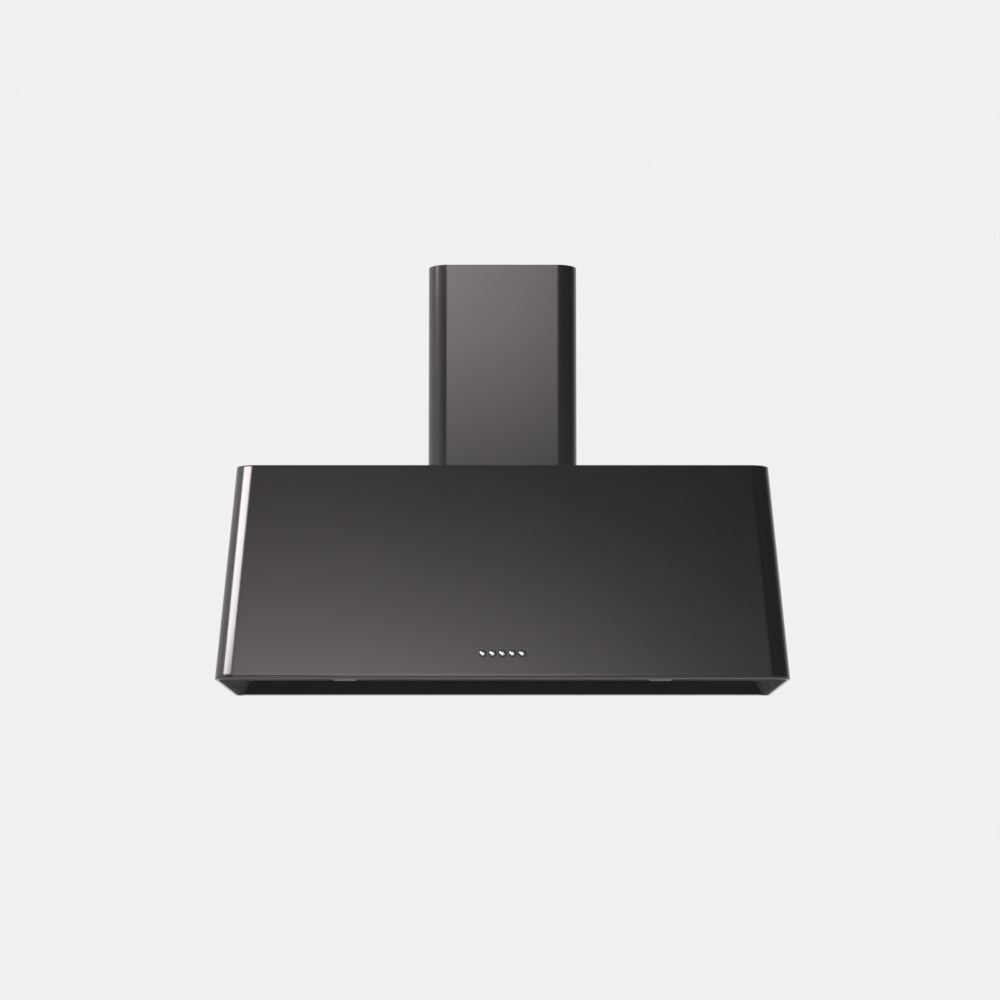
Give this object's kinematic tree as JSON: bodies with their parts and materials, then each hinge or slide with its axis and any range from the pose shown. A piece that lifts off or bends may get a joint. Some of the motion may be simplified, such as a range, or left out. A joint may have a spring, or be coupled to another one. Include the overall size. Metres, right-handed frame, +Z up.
{
  "type": "chimney range hood",
  "caption": "Wall-mounted chimney range hood: tapered anthracite canopy with round front corners, push buttons, baffle filters beneath and a telescopic rounded chimney.",
  "frame": {"origin": "on the wall plane, on the hood's centre line, level with the underside of its rim", "axes": "+X to the right, +Y into the wall, +Z up; the hood's front faces -Y"},
  "size_m": [1.2, 0.5, 0.917],
  "materials": {
    "enamel": "satin anthracite stove enamel on folded steel",
    "liner_enamel": "semi-gloss dark enamel inside the recess",
    "galvanised": "galvanised sheet, softly mottled",
    "filter_steel": "brushed stainless steel",
    "chrome": "bright polished",
    "black_plastic": "fine satin black moulding",
    "grey_plastic": "moulded light grey",
    "rubber": "matt black",
    "lens_glass": "frosted",
    "lamp_metal": "satin",
    "screw_steel": "zinc plated",
    "motor_metal": "die-cast, sand-blasted",
    "capacitor_can": "drawn can",
    "board_resin": "glossy circuit board with moulded parts",
    "pilot_lens": "dark smoked lens"
  },
  "bodies": {
    "hood": {"canopy_shell": "enamel", "canopy_top": "enamel", "canopy_back": "galvanised", "underside_liner": "liner_enamel", "light_panel": "liner_enamel", "chimney_cover": "enamel", "chimney_bracket": "galvanised", "button_bezels": "black_plastic", "switch_housing": "black_plastic", "indicator_lens": "pilot_lens", "outlet_collar": "galvanised", "flap_pin": "screw_steel", "scroll_left": "galvanised", "scroll_right": "galvanised", "motor": "motor_metal", "motor_cradle": "galvanised", "rubber_mounts": "rubber", "control_box": "grey_plastic", "control_box_lid": "grey_plastic", "control_board": "board_resin", "capacitor": "capacitor_can", "capacitor_clip": "galvanised", "cable_gland": "black_plastic", "chimney_screws": "screw_steel", "collar_screws": "screw_steel", "blower_screws": "screw_steel", "motor_screws": "screw_steel", "levelling_screws": "screw_steel", "lamp_housing_left": "lamp_metal", "lamp_lens_left": "lens_glass", "wall_hook_left": "galvanised", "hanger_left": "galvanised", "lamp_housing_right": "lamp_metal", "lamp_lens_right": "lens_glass", "wall_hook_right": "galvanised", "hanger_right": "galvanised"},
    "chimney_sleeve": {"chimney_sleeve": "enamel"},
    "impeller": {"impeller": "galvanised", "motor_shaft": "screw_steel"},
    "damper_front": {"damper_flap_front": "grey_plastic"},
    "damper_rear": {"damper_flap_rear": "grey_plastic"},
    "filter_left": {"filter_frame_left": "filter_steel", "filter_baffles_left": "filter_steel"},
    "latch_left": {"filter_latch_left": "black_plastic"},
    "filter_centre": {"filter_frame_centre": "filter_steel", "filter_baffles_centre": "filter_steel"},
    "latch_centre": {"filter_latch_centre": "black_plastic"},
    "filter_right": {"filter_frame_right": "filter_steel", "filter_baffles_right": "filter_steel"},
    "latch_right": {"filter_latch_right": "black_plastic"},
    "button_1": {"button_1": "chrome"},
    "button_2": {"button_2": "chrome"},
    "button_3": {"button_3": "chrome"},
    "button_4": {"button_4": "chrome"},
    "button_5": {"button_5": "chrome"}
  },
  "joints": [
    {"name": "filter_left_swing", "type": "hinge", "parent": "hood", "child": "filter_left", "pos_m": [-0.35423, -0.0674, 0.06275], "axis": [1, 0, 0], "range_deg": [0, 60]},
    {"name": "latch_left_slide", "type": "slide", "parent": "filter_left", "child": "latch_left", "axis": [0, 1, 0], "range_m": [0, 0.006], "stiffness_N_per_m": 300, "springref_m": -0.004},
    {"name": "filter_centre_swing", "type": "hinge", "parent": "hood", "child": "filter_centre", "pos_m": [0, -0.0674, 0.06275], "axis": [1, 0, 0], "range_deg": [0, 60]},
    {"name": "latch_centre_slide", "type": "slide", "parent": "filter_centre", "child": "latch_centre", "axis": [0, 1, 0], "range_m": [0, 0.006], "stiffness_N_per_m": 300, "springref_m": -0.004},
    {"name": "filter_right_swing", "type": "hinge", "parent": "hood", "child": "filter_right", "pos_m": [0.35423, -0.0674, 0.06275], "axis": [1, 0, 0], "range_deg": [0, 60]},
    {"name": "latch_right_slide", "type": "slide", "parent": "filter_right", "child": "latch_right", "axis": [0, 1, 0], "range_m": [0, 0.006], "stiffness_N_per_m": 300, "springref_m": -0.004},
    {"name": "button_1_press", "type": "slide", "parent": "hood", "child": "button_1", "axis": [0, 0.9328, -0.3605], "range_m": [0, 0.003], "stiffness_N_per_m": 400, "springref_m": -0.002},
    {"name": "button_2_press", "type": "slide", "parent": "hood", "child": "button_2", "axis": [0, 0.9328, -0.3605], "range_m": [0, 0.003], "stiffness_N_per_m": 400, "springref_m": -0.002},
    {"name": "button_3_press", "type": "slide", "parent": "hood", "child": "button_3", "axis": [0, 0.9328, -0.3605], "range_m": [0, 0.003], "stiffness_N_per_m": 400, "springref_m": -0.002},
    {"name": "button_4_press", "type": "slide", "parent": "hood", "child": "button_4", "axis": [0, 0.9328, -0.3605], "range_m": [0, 0.003], "stiffness_N_per_m": 400, "springref_m": -0.002},
    {"name": "button_5_press", "type": "slide", "parent": "hood", "child": "button_5", "axis": [0, 0.9328, -0.3605], "range_m": [0, 0.003], "stiffness_N_per_m": 400, "springref_m": -0.002},
    {"name": "impeller_spin", "type": "hinge", "parent": "hood", "child": "impeller", "pos_m": [0, -0.2275, 0.255], "axis": [1, 0, 0], "continuous": true},
    {"name": "damper_front_swing", "type": "hinge", "parent": "hood", "child": "damper_front", "pos_m": [0, -0.15, 0.496], "axis": [-1, 0, 0], "range_deg": [0, 80]},
    {"name": "damper_rear_swing", "type": "hinge", "parent": "hood", "child": "damper_rear", "pos_m": [0, -0.15, 0.496], "axis": [1, 0, 0], "range_deg": [0, 80]},
    {"name": "chimney_sleeve_slide", "type": "slide", "parent": "hood", "child": "chimney_sleeve", "axis": [0, 0, 1], "range_m": [0, 0.3]}
  ]
}
